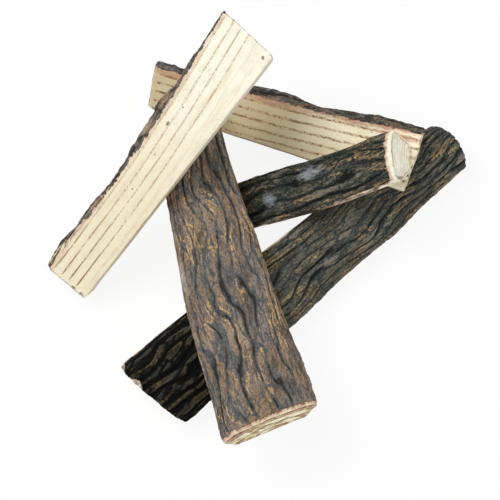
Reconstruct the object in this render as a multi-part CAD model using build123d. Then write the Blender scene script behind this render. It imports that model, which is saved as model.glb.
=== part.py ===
from build123d import *
import math
import os

import numpy as np

# Ceramic log set: five logs cast in refractory ceramic, stacked like a campfire.
# Every log is cast upside down in a flexible open mould, so its underside is the flat, open side.
# The bark and the split faces are moulded, and steel rods are cast in to hold the log together.
# All sizes are millimetres. The set stands on the plane z = 0, with the middle of its plan at x = y = 0.

# Base log: the long dark log that lies on the hearth
BASE_LENGTH = 434.5
BASE_HEEL_WIDTH = 96.5
BASE_HEAD_WIDTH = 65.5
BASE_HEEL_HEIGHT = 62.0
BASE_HEAD_HEIGHT = 47.0
BASE_RIGHT_ARRIS_HEIGHT = 7.0
BASE_LEFT_ARRIS_HEIGHT = 34.0
BASE_LEFT_ARRIS_IN = 7.0
BASE_LEFT_FOOT_IN = 2.0
BASE_BELLY = 3.0
BASE_BOW = 2.0
BASE_HEEL_SLANT = -0.13
BASE_HEEL_RAKE = -0.20
BASE_HEAD_SLANT = -0.04
BASE_HEAD_RAKE = 0.17
BASE_HEADING = 40.6
BASE_FURROW_START = 0.4

# Back log: split log whose heel is on the hearth and whose head lies on the base log
BACK_LENGTH = 318.0
BACK_HEEL_FACE = 40.5
BACK_HEAD_FACE = 57.5
BACK_HEEL_HEIGHT = 40.0
BACK_HEAD_HEIGHT = 45.0
BACK_RIGHT_ARRIS_HEIGHT = 16.0
BACK_RIGHT_FOOT_IN = 4.0
BACK_LEFT_FOOT_OUT = 4.0
BACK_BARK = 13.0
BACK_WAIST = 4.0
BACK_BOW = -2.0
BACK_HEEL_SLANT = -0.04
BACK_HEAD_RAKE = 0.15
BACK_HEADING = -21.2
BACK_FURROW_START = 1.1
BACK_ALONG_BASE = 370.0
BACK_PAST_BASE = 6.0

# Short log: charred log that leans on the back log
SHORT_LENGTH = 219.0
SHORT_HEEL_WIDTH = 53.0
SHORT_HEAD_WIDTH = 54.5
SHORT_HEEL_HEIGHT = 36.0
SHORT_HEAD_HEIGHT = 43.0
SHORT_RIGHT_ARRIS_HEIGHT = 26.0
SHORT_RIGHT_FOOT_IN = 14.0
SHORT_LEFT_ARRIS_HEIGHT = 30.0
SHORT_LEFT_FOOT_IN = 9.0
SHORT_BELLY = 4.0
SHORT_BOW = -3.0
SHORT_HEEL_SLANT = -0.235
SHORT_HEAD_SLANT = 0.17
SHORT_HEAD_RAKE = -0.16
SHORT_HEADING = 10.3
SHORT_FURROW_START = 2.3
SHORT_HEAD_ALONG_BACK = 307.5
SHORT_HEAD_BEFORE_BACK = 1.0

# Front log: the wide brown log that spans the back log and the base log
FRONT_LENGTH = 394.0
FRONT_HEEL_WIDTH = 57.0
FRONT_HEAD_WIDTH = 106.5
FRONT_HEEL_HEIGHT = 38.0
FRONT_HEAD_HEIGHT = 42.0
FRONT_ARRIS_HEIGHT = 22.0
FRONT_FOOT_IN = 13.0
FRONT_BELLY = 9.0
FRONT_BOW = -8.0
FRONT_HEEL_SLANT = -0.12
FRONT_HEAD_SLANT = -0.14
FRONT_HEAD_RAKE = -0.10
FRONT_FURROW_START = 3.0
FRONT_ALONG_BACK = 34.0
FRONT_ALONG_BASE = 124.0
FRONT_SHORT_OF_BACK = 12.5

# Top log: pale split log that leans on the front log
TOP_LENGTH = 343.5
TOP_HEEL_FACE = 50.5
TOP_HEAD_FACE = 65.5
TOP_HEEL_HEIGHT = 38.0
TOP_HEAD_HEIGHT = 44.0
TOP_RIGHT_ARRIS_HEIGHT = 28.0
TOP_RIGHT_FOOT_IN = 5.0
TOP_LEFT_FOOT_OUT = 0.0
TOP_BARK = 8.0
TOP_BARK_THINS_OVER = 50.0
TOP_WAIST = 6.0
TOP_BOW = -3.0
TOP_HEEL_SLANT = 0.04
TOP_HEAD_SLANT = 0.016
TOP_HEAD_RAKE = 0.34
TOP_HEADING = 46.5
TOP_FURROW_START = 4.2
TOP_ALONG_FRONT = 60.0
TOP_REACH = 192.0

# Moulded bark
FURROW_PITCH = 12.0
FURROW_DEPTH = 3.0
FURROW_DEPTH_CHANGE = 0.9
FURROW_DEPTH_WAVE = 107.0
FURROW_HALF_WIDTH = 2.4
FURROW_DRIFT = 14.0
FURROW_SWAY = 4.0
FURROW_SWAY_WAVE = 120.0
FURROW_SWAY_LAG = 5.0
UNEVEN_HEIGHT = 1.5
UNEVEN_WAVE = 150.0
UNEVEN_LAG = 3.0
ROUND_BULGE = 0.85
SMALL_ROUND_BULGE = 0.8
SPLIT_BULGE = 0.5
BULGE_GIRTH = 1.1
ARRIS_FADE = 4.0
LEAST_FURROWS = 2
STATION_PITCH = 36.0
LEAST_STATIONS = 4
CUT_ROOM = 2.0

# Seats
SEAT_GAP = 0.3
HEEL_FLAT = 1.5
SEAT_MARGIN = 0.5
SKIN_PITCH = 2.0
SKIN_TOLERANCE = 0.1
SKIN_ANGLE = 0.5
SEAT_ROUNDS = 4
STEEPEST_SLOPE = 1.0
SLOPE_HALVINGS = 40

# Steel rods cast into the logs
ROD_DIAMETER = 5.0
ROD_CLEARANCE = 0.1
ROD_END_COVER = 28.0
ROD_HEIGHT = 14.0
ROD_SPACING = 22.0
RODS_IN_A_LOG = 2


class Log:
    """A cast log in its own frame: x runs from heel to head, y to the left, z up from the flat underside.

    A round log has bark from its right arris over the crown to its left arris.
    A split log has a flat split face on top, and bark only down its left side.
    """

    def __init__(self, length, widths, heights, right_height, roundness, phase, right_foot_in=0.0,
                 left_height=0.0, left_arris_in=0.0, left_foot_in=0.0, bark=0.0, bark_thins_over=0.0,
                 belly=0.0, bow=0.0, heel_slant=0.0, heel_rake=0.0, head_slant=0.0, head_rake=0.0):
        self.length = length
        self.widths = widths
        self.heights = heights
        self.right_height = right_height
        self.right_foot_in = right_foot_in
        self.left_height = left_height
        self.left_arris_in = left_arris_in
        self.left_foot_in = left_foot_in
        self.roundness = roundness
        self.bark = bark
        self.bark_thins_over = bark_thins_over
        self.belly = belly
        self.bow = bow
        self.heel_slant = heel_slant
        self.heel_rake = heel_rake
        self.head_slant = head_slant
        self.head_rake = head_rake
        self.phase = phase
        self.split = bark > 0

    def swell(self, x):
        """0 at both ends, 1 half way along."""
        return math.sin(math.pi * x / self.length)

    def width(self, x):
        heel, head = self.widths
        return heel + (head - heel) * x / self.length + self.belly * self.swell(x)

    def height(self, x):
        heel, head = self.heights
        return heel + (head - heel) * x / self.length

    def middle(self, x):
        return self.bow * self.swell(x)

    def corners(self, x):
        """Right foot, right arris, left arris and left foot of the section at x."""
        middle = self.middle(x)
        half = self.width(x) / 2
        left_height = self.height(x) if self.split else self.left_height
        right_foot = np.array([middle - half + self.right_foot_in, 0.0])
        right_arris = np.array([middle - half, self.right_height])
        left_arris = np.array([middle + half - self.left_arris_in, left_height])
        left_foot = np.array([middle + half - self.left_foot_in, 0.0])
        return right_foot, right_arris, left_arris, left_foot

    def bark_bulge(self, x):
        """How far a split log's bark bulges from its left side. It can thin out towards the head."""
        if self.bark_thins_over == 0:
            return self.bark
        return self.bark * min(1.0, max(0.0, (self.length - x) / self.bark_thins_over))

    def bark_ends(self, x):
        """The two ends of the bark line, and how far it bulges from the straight line between them."""
        right_foot, right_arris, left_arris, left_foot = self.corners(x)
        if self.split:
            return left_arris, left_foot, self.bark_bulge(x)
        rise = self.height(x) - (self.right_height + self.left_height) / 2
        return right_arris, left_arris, rise

    def furrow_count(self):
        """How many furrows lie side by side, from the girth of the bark half way along."""
        start, end, bulge = self.bark_ends(self.length / 2)
        girth = math.hypot(*(end - start)) + BULGE_GIRTH * bulge
        return max(LEAST_FURROWS, round(girth / FURROW_PITCH))

    def bark_line(self, x):
        """Points of the bark across the section at x.

        The plain line is a chord bulged by a power of a sine. Every furrow has a shoulder, a floor
        and a shoulder, with a flat ridge up to the next one. Between the arrises the furrows drift and
        sway along the log, and their depth changes from furrow to furrow and along each one.
        """
        start, end, bulge = self.bark_ends(x)
        chord = end - start
        girth = math.hypot(*chord) + BULGE_GIRTH * bulge
        count = self.furrow_count()
        edge = FURROW_HALF_WIDTH * count / girth
        furrows = np.arange(count)[:, None] + [0.5 - edge, 0.5, 0.5 + edge]
        number = np.concatenate([[0.0], furrows.ravel(), [count]])
        plain = number / count
        hold = np.sin(math.pi * plain)
        drift = FURROW_DRIFT * (x / self.length - 0.5)
        sway = FURROW_SWAY * np.sin(2 * math.pi * x / FURROW_SWAY_WAVE + FURROW_SWAY_LAG * plain + self.phase)
        across = plain + (drift + sway) * hold / girth
        wave = np.sin(2 * math.pi * x / FURROW_DEPTH_WAVE + number ** 2 + self.phase)
        depth = FURROW_DEPTH - FURROW_DEPTH_CHANGE * (1 - wave)
        floor = np.isclose(number % 1, 0.5)
        uneven = UNEVEN_HEIGHT * np.sin(2 * math.pi * x / UNEVEN_WAVE + UNEVEN_LAG * plain + self.phase)
        hump = np.sin(math.pi * across) ** self.roundness
        lift = bulge * hump + (uneven - depth * floor) * np.minimum(1, ARRIS_FADE * hump)
        outward = np.array([-chord[1], chord[0]]) / math.hypot(*chord)
        if outward @ (np.array([1.0, 0.0]) if self.split else np.array([0.0, 1.0])) < 0:
            outward = -outward
        return start + np.outer((1 - np.cos(math.pi * across)) / 2, chord) + np.outer(lift, outward)

    def section(self, x):
        """Closed outline of the section at x. It reaches below the underside, which is cut flat later."""
        right_foot, right_arris, left_arris, left_foot = self.corners(x)
        below = np.array([0.0, -CUT_ROOM])
        bark = list(self.bark_line(x))
        if self.split:
            ring = bark + [left_foot + below, right_foot + below, right_arris]
        else:
            ring = bark + [left_foot + below, right_foot + below]
        return Wire.make_polygon([Vector(x, y, z) for y, z in ring], close=True)

    def end_plane(self, x, slant, rake, facing):
        """Cutting plane of an end: slant turns it across the log, rake tips it along the height."""
        return Plane(origin=(x, 0, 0), z_dir=(facing, -facing * slant, -facing * rake))

    def solid(self):
        """The log's ceramic, lofted through its sections, with its underside and ends cut flat."""
        over = CUT_ROOM + max(self.widths) / 2 * max(abs(self.heel_slant), abs(self.head_slant))
        over += max(self.heights) * max(abs(self.heel_rake), abs(self.head_rake))
        count = max(LEAST_STATIONS, round((self.length + 2 * over) / STATION_PITCH))
        stations = np.linspace(-over, self.length + over, count)
        body = Solid.make_loft([self.section(float(x)) for x in stations], ruled=True)
        body = split(body, Plane.XY, Keep.TOP)
        body = split(body, self.end_plane(0, self.heel_slant, self.heel_rake, 1), Keep.TOP)
        return split(body, self.end_plane(self.length, self.head_slant, self.head_rake, -1), Keep.TOP)


class Placing:
    """Where a log lies: its heel on plan, the height of its underside there, its heading and its lean."""

    def __init__(self, heel, heading, lean=0.0, lift=0.0):
        self.heel = np.array(heel, float)
        self.heading = heading
        self.lean = lean
        self.lift = lift

    def forward(self):
        turn = math.radians(self.heading)
        return np.array([math.cos(turn), math.sin(turn)])

    def leftward(self):
        forward = self.forward()
        return np.array([-forward[1], forward[0]])

    def point(self, along, aside=0.0):
        """Point on plan, along the heading from the heel and to the left of it."""
        return self.heel + along * self.forward() + aside * self.leftward()

    def location(self):
        return Pos(*self.heel, self.lift) * Rot(0, 0, self.heading) * Rot(0, -self.lean, 0)


def skin_points(solid):
    """Corners of a placed solid's facets, each halved across its longest side until all sides are short."""
    corners, facets = solid.tessellate(SKIN_TOLERANCE, SKIN_ANGLE)
    facets = np.array([tuple(corner) for corner in corners])[np.array(facets)]
    done = []
    while len(facets):
        sides = np.linalg.norm(facets - np.roll(facets, -1, axis=1), axis=2)
        short = sides.max(axis=1) < SKIN_PITCH
        done.append(facets[short].reshape(-1, 3))
        facets = facets[~short]
        turn = (sides[~short].argmax(axis=1)[:, None] + np.arange(3)) % 3
        facets = np.take_along_axis(facets, turn[:, :, None], axis=1)
        middle = facets[:, :2].mean(axis=1, keepdims=True)
        facets = np.vstack([np.hstack([facets[:, :1], middle, facets[:, 2:]]),
                            np.hstack([middle, facets[:, 1:]])])
    return np.vstack(done)


def beneath(log, placing, points):
    """Distance from the heel and height of those points that lie under or over the log on plan.

    Where a side leans out above its foot, a point counts as lower by the side's height above the foot.
    """
    offset = points[:, :2] - placing.heel
    along = offset @ placing.forward()
    aside = offset @ placing.leftward()
    flat_length = log.length * math.cos(math.radians(placing.lean))
    share = np.clip(along / flat_length, 0, 1)
    half = (log.widths[0] + (log.widths[1] - log.widths[0]) * share + log.belly * np.sin(math.pi * share)) / 2
    middle = log.bow * np.sin(math.pi * share)
    over = SEAT_MARGIN + abs(log.heel_slant) * max(log.widths) / 2
    near = (along > -over) & (along < flat_length + SEAT_MARGIN)
    rise = np.zeros(len(points))
    for outward, foot_in, arris_height in ((aside - middle, log.left_foot_in, log.left_height),
                                           (middle - aside, log.right_foot_in, log.right_height)):
        past_foot = outward - (half - foot_in)
        near &= past_foot < max(foot_in, 0.0) + SEAT_MARGIN
        if foot_in > 0:
            rise = np.maximum(rise, (past_foot - SEAT_MARGIN) * arris_height / foot_in)
    return along[near], (points[:, 2] - rise)[near]


def lean_from_floor(log, placing, points):
    """Lean of a log whose heel is on the floor, with its underside a seat gap above the points."""
    along, height = beneath(log, placing, points)
    leans = np.arctan2(height + SEAT_GAP + HEEL_FLAT, along)
    return math.degrees(float(np.max(leans, initial=0.0)))


def span(log, placing, far_points, near_points):
    """Lean and lift of a log that lies across two others, one near its heel and one further along."""
    far_along, far_height = beneath(log, placing, far_points)
    near_along, near_height = beneath(log, placing, near_points)
    low, high = -STEEPEST_SLOPE, STEEPEST_SLOPE
    for _ in range(SLOPE_HALVINGS):
        slope = (low + high) / 2
        at_far = np.max(far_height - slope * far_along)
        at_near = np.max(near_height - slope * near_along)
        if at_far < at_near:
            low = slope
        else:
            high = slope
    return math.degrees(math.atan(slope)), float(max(at_far, at_near)) + SEAT_GAP


def heading_to(start, goal):
    return math.degrees(math.atan2(goal[1] - start[1], goal[0] - start[0]))


base_log = Log(
    BASE_LENGTH, (BASE_HEEL_WIDTH, BASE_HEAD_WIDTH), (BASE_HEEL_HEIGHT, BASE_HEAD_HEIGHT),
    BASE_RIGHT_ARRIS_HEIGHT, ROUND_BULGE, BASE_FURROW_START, left_height=BASE_LEFT_ARRIS_HEIGHT,
    left_arris_in=BASE_LEFT_ARRIS_IN, left_foot_in=BASE_LEFT_FOOT_IN, belly=BASE_BELLY, bow=BASE_BOW,
    heel_slant=BASE_HEEL_SLANT, heel_rake=BASE_HEEL_RAKE, head_slant=BASE_HEAD_SLANT,
    head_rake=BASE_HEAD_RAKE)
back_log = Log(
    BACK_LENGTH, (BACK_HEEL_FACE, BACK_HEAD_FACE), (BACK_HEEL_HEIGHT, BACK_HEAD_HEIGHT),
    BACK_RIGHT_ARRIS_HEIGHT, SPLIT_BULGE, BACK_FURROW_START, right_foot_in=BACK_RIGHT_FOOT_IN,
    left_foot_in=-BACK_LEFT_FOOT_OUT, bark=BACK_BARK, belly=-BACK_WAIST, bow=BACK_BOW,
    heel_slant=BACK_HEEL_SLANT, head_rake=BACK_HEAD_RAKE)
short_log = Log(
    SHORT_LENGTH, (SHORT_HEEL_WIDTH, SHORT_HEAD_WIDTH), (SHORT_HEEL_HEIGHT, SHORT_HEAD_HEIGHT),
    SHORT_RIGHT_ARRIS_HEIGHT, SMALL_ROUND_BULGE, SHORT_FURROW_START, right_foot_in=SHORT_RIGHT_FOOT_IN,
    left_height=SHORT_LEFT_ARRIS_HEIGHT, left_foot_in=SHORT_LEFT_FOOT_IN, belly=SHORT_BELLY, bow=SHORT_BOW,
    heel_slant=SHORT_HEEL_SLANT, head_slant=SHORT_HEAD_SLANT, head_rake=SHORT_HEAD_RAKE)
front_log = Log(
    FRONT_LENGTH, (FRONT_HEEL_WIDTH, FRONT_HEAD_WIDTH), (FRONT_HEEL_HEIGHT, FRONT_HEAD_HEIGHT),
    FRONT_ARRIS_HEIGHT, SMALL_ROUND_BULGE, FRONT_FURROW_START, right_foot_in=FRONT_FOOT_IN,
    left_height=FRONT_ARRIS_HEIGHT, left_foot_in=FRONT_FOOT_IN, belly=FRONT_BELLY, bow=FRONT_BOW,
    heel_slant=FRONT_HEEL_SLANT, head_slant=FRONT_HEAD_SLANT, head_rake=FRONT_HEAD_RAKE)
top_log = Log(
    TOP_LENGTH, (TOP_HEEL_FACE, TOP_HEAD_FACE), (TOP_HEEL_HEIGHT, TOP_HEAD_HEIGHT),
    TOP_RIGHT_ARRIS_HEIGHT, SPLIT_BULGE, TOP_FURROW_START, right_foot_in=TOP_RIGHT_FOOT_IN,
    left_foot_in=-TOP_LEFT_FOOT_OUT, bark=TOP_BARK,
    bark_thins_over=TOP_BARK_THINS_OVER, belly=-TOP_WAIST, bow=TOP_BOW,
    heel_slant=TOP_HEEL_SLANT, head_slant=TOP_HEAD_SLANT, head_rake=TOP_HEAD_RAKE)


def rods(log, clearance=0.0):
    """The straight steel rods inside a log, with a clearance for the space that they fill."""
    start = ROD_END_COVER - clearance
    length = log.length - 2 * start
    radius = ROD_DIAMETER / 2 + clearance
    rod = Rot(0, 90, 0) * Cylinder(radius, length, align=(Align.CENTER, Align.CENTER, Align.MIN))
    middle = log.middle(log.length / 2)
    places = [(i - (RODS_IN_A_LOG - 1) / 2) * ROD_SPACING for i in range(RODS_IN_A_LOG)]
    return [Pos(start, middle + aside, ROD_HEIGHT) * rod for aside in places]


def stand(log, placing):
    """The log's ceramic in its place, with the heel cut flush where it would pass below the floor."""
    solid = log.solid()
    for space in rods(log, ROD_CLEARANCE):
        solid = solid - space
    return split(placing.location() * solid, Plane.XY, Keep.TOP)


placings = {"base_log": Placing((0, 0), BASE_HEADING)}
bodies = {"base_log": stand(base_log, placings["base_log"])}
base_skin = skin_points(bodies["base_log"])

# The back log: its head is tied to the base log, so that a longer log reaches further back
placing = Placing((0, 0), BACK_HEADING)
crossing = placings["base_log"].point(BACK_ALONG_BASE)
for _ in range(SEAT_ROUNDS):
    reach = back_log.length * math.cos(math.radians(placing.lean)) - BACK_PAST_BASE
    placing.heel = crossing - reach * placing.forward()
    placing.lean = lean_from_floor(back_log, placing, base_skin)
placing.lift = -HEEL_FLAT
placings["back_log"] = placing
bodies["back_log"] = stand(back_log, placing)
back_skin = skin_points(bodies["back_log"])

# The short log: its head is tied to the back log
placing = Placing((0, 0), SHORT_HEADING)
head = placings["back_log"].point(SHORT_HEAD_ALONG_BACK, -SHORT_HEAD_BEFORE_BACK)
for _ in range(SEAT_ROUNDS):
    placing.heel = head - short_log.length * math.cos(math.radians(placing.lean)) * placing.forward()
    placing.lean = lean_from_floor(short_log, placing, np.vstack([base_skin, back_skin]))
placing.lift = -HEEL_FLAT
placings["short_log"] = placing
bodies["short_log"] = stand(short_log, placing)

# The front log: it crosses the back log and the base log at two fixed points
over_back = placings["back_log"].point(FRONT_ALONG_BACK)
over_base = placings["base_log"].point(FRONT_ALONG_BASE)
placing = Placing(over_back, heading_to(over_back, over_base))
placing.heel = placing.point(FRONT_SHORT_OF_BACK)
placing.lean, placing.lift = span(front_log, placing, back_skin, base_skin)
placings["front_log"] = placing
bodies["front_log"] = stand(front_log, placing)
front_skin = skin_points(bodies["front_log"])

# The top log: it crosses the front log near that log's hidden end
placing = Placing((0, 0), TOP_HEADING)
placing.heel = placings["front_log"].point(TOP_ALONG_FRONT) - TOP_REACH * placing.forward()
placing.lean = lean_from_floor(top_log, placing, np.vstack([front_skin, back_skin]))
placing.lift = -HEEL_FLAT
placings["top_log"] = placing
bodies["top_log"] = stand(top_log, placing)

logs = {"base_log": base_log, "back_log": back_log, "short_log": short_log,
        "front_log": front_log, "top_log": top_log}
for name, log in logs.items():
    bodies[name + "_rods"] = Compound([placings[name].location() * rod for rod in rods(log)])

# The origin goes to the middle of the set's plan
box = Compound(list(bodies.values())).bounding_box()
centre = (box.min + box.max) / 2
print(f"size {box.size.X:.1f} by {box.size.Y:.1f} by {box.size.Z:.1f}")
os.makedirs("parts", exist_ok=True)
for name, body in bodies.items():
    export_step(Pos(-centre.X, -centre.Y, 0) * body, f"parts/{name}.step")
for name, placing in placings.items():
    x, y = placing.heel - [centre.X, centre.Y]
    print(f"{name}: heel {x:.2f}, {y:.2f}, lift {placing.lift:.2f}, "
          f"heading {placing.heading:.3f}, lean {placing.lean:.3f}")
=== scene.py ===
import math

import bpy
import numpy as np
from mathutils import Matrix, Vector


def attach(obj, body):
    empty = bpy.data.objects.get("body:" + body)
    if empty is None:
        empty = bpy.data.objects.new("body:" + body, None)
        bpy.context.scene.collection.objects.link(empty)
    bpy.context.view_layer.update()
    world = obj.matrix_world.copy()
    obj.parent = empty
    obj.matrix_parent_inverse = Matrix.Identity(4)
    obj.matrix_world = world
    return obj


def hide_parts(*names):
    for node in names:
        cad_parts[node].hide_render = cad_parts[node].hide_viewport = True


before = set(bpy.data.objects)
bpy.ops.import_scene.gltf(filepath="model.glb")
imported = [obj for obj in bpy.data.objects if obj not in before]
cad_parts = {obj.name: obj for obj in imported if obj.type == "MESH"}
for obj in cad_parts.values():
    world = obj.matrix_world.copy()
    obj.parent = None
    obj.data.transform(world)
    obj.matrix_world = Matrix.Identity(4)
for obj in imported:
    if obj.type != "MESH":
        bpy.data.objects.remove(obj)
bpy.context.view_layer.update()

# Ceramic log set: five logs cast in refractory ceramic, painted as bark, split wood and char.
# Every log's skin is worked out in the log's own frame and then laid in its place on the hearth.
# Sizes are metres. MM turns the millimetres of the casting drawings into metres.
# A patch is the length and width of the spots of a random pattern.
MM = 0.001

# Moulded bark, as on the solids
FURROW_PITCH = 12 * MM
FURROW_DEPTH = 3 * MM
FURROW_HALF_WIDTH = 2.4 * MM
FURROW_DRIFT = 14 * MM
FURROW_SWAY = 4 * MM
FURROW_SWAY_WAVE = 120 * MM
FURROW_SWAY_LAG = 5.0
UNEVEN_HEIGHT = 1.5 * MM
UNEVEN_WAVE = 150 * MM
UNEVEN_LAG = 3.0
BULGE_GIRTH = 1.1
ARRIS_FADE = 4.0
ARRIS_ROUNDS = 1

# What the finish adds to the furrows: they wander, widen and pinch out, and some gape near the heel.
# USUAL and SWELL are shares of the half width, the gaping places shares of the log's length.
FURROW_WANDER = 0.34
FURROW_WANDER_PATCH = (42 * MM, 15 * MM)
FURROW_USUAL = 0.74
FURROW_SWELL = 0.45
FURROW_SWELL_PATCH = (52 * MM, 11 * MM)
FURROW_WALL = 2.0 * MM
FURROW_LIP = 0.4 * FURROW_WALL
GAPING_FULL_TO = 0.1
GAPING_GONE_AT = 0.4

# Plates between the furrows
PLATE_LENGTH = 44 * MM
PLATE_WIDTH = 9.5 * MM
PLATE_GAP = 0.9 * MM
PLATE_STEP = 1.3 * MM
PLATE_SHOULDER = 1.2 * MM
PLATE_WARP = 2.6 * MM
PLATE_WARP_PATCH = (15 * MM, 8 * MM)
PLATE_WARP_ALONG = 4
PLATE_EDGE_ROUGHNESS = 0.5 * MM
PLATE_EDGE_PATCH = (6 * MM, 3 * MM)

# Torn bark on the plates
FLAKE_HEIGHT = 0.55 * MM
FLAKE_PATCH = (8 * MM, 3.4 * MM)
FIBRE_HEIGHT = 0.5 * MM
FIBRE_PATCH = (26 * MM, 2.6 * MM)
SCALE_HEIGHT = 0.5 * MM
SCALE_PATCH = (24 * MM, 7 * MM)
RAGGED_PATCH = (34 * MM, 1)

# Plain sides and sawn ends
SIDE_ROUGHNESS = 0.35 * MM
SIDE_PATCH = (22 * MM, 9 * MM)
SAW_ROUGHNESS = 0.5 * MM
SAW_PATCH = (7 * MM, 5 * MM)
RING_RELIEF = 0.25 * MM
RING_LEAN = 3 * MM
OUTERMOST_RING = 0.2 * MM
ROUNDED_HEAD_OUTSIDE = -6 * MM
NICK_PATCH = (13 * MM, 11 * MM)
END_WEAR = 1.2 * MM
END_WEAR_REACH = 2.5 * MM

# A rounded head with knobs, and a head whose bark is torn off.
# ROUNDING_DEPTH is a share of the rounding, TORN_REACH of the bare band and TORN_RELIEF of the bark's relief.
ROUNDING_DEPTH = 0.4
ROUNDED_ABOVE = 3 * MM
KNOB_HEIGHT = 1.6 * MM
KNOB_PATCH = (15 * MM, 11 * MM)
KNOBS_FULL_TO = 12 * MM
KNOBS_GONE_AT = 30 * MM
KNOBS_STAND_OUT = 0.4
TORN_REACH = 1.4
TORN_RELIEF = 0.3
TORN_FILLING = 5 * MM

# Painted grain: lines on a split face and rings on a sawn end
LINE_PITCH = 10.3 * MM
RING_PITCH = 5 * MM

# Grid of a log's skin
ALONG_STEP = 1.3 * MM
ACROSS_STEP = 0.95 * MM
SIDE_STEP = 2.0 * MM
FACE_STEP = 1.6 * MM
END_ROWS = 22
SHARP_ANGLE = math.radians(62)
FACING_DOWN = -0.9

# Runs of the outline. Side and face stand for those of a split log.
BARK_RUN = 0
SIDE_RUN = 2
FACE_RUN = 3

# Cells along each side of the lattice that carries a random pattern, before it repeats
CELLS = 64


def mm(*sizes):
    """Sizes in millimetres as metres."""
    return tuple(size * MM for size in sizes)


def noise(x, y, long, wide, seed, octaves=3):
    """Soft random height between about -1 and 1.

    Random heights on a lattice of cells that are long by wide are joined by smooth steps.
    Each octave halves the cells and the height, and is moved aside so that the lattices don't line up.
    """
    heights = np.random.default_rng(seed).uniform(-1, 1, (CELLS, CELLS))
    total = 0
    for octave in range(octaves):
        u = x / long * 2 ** octave + 17.3 * octave
        v = y / wide * 2 ** octave + 9.1 * octave
        i, j = np.floor(u).astype(int), np.floor(v).astype(int)
        u, v = u - i, v - j
        u, v = u * u * (3 - 2 * u), v * v * (3 - 2 * v)
        i, j, next_i, next_j = i % CELLS, j % CELLS, (i + 1) % CELLS, (j + 1) % CELLS
        near = heights[i, j] * (1 - u) + heights[next_i, j] * u
        far = heights[i, next_j] * (1 - u) + heights[next_i, next_j] * u
        total = total + (near * (1 - v) + far * v) / 2 ** octave
    return total


def cracks(x, y, long, wide, seed):
    """Distance to the nearest border between bark plates, in plates: 0 on a border.

    Every lattice cell holds one seed point at random. A plate is all that lies nearest to its point,
    and the result is how much further the second nearest point is than the nearest.
    """
    spots = np.random.default_rng(seed).uniform(0, 1, (2, CELLS, CELLS))
    u, v = x / long, y / wide
    i, j = np.floor(u).astype(int), np.floor(v).astype(int)
    beyond = 9.0
    first = np.full(u.shape, beyond)
    second = np.full(u.shape, beyond)
    for di in (-1, 0, 1):
        for dj in (-1, 0, 1):
            column, row = (i + di) % CELLS, (j + dj) % CELLS
            away = np.hypot(i + di + spots[0, column, row] - u, j + dj + spots[1, column, row] - v)
            second = np.minimum(second, np.maximum(first, away))
            first = np.minimum(first, away)
    return second - first


def smooth(value, low, high):
    """0 below low, 1 above high, and a smooth step between."""
    share = np.clip((value - low) / (high - low), 0, 1)
    return share * share * (3 - 2 * share)


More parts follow.
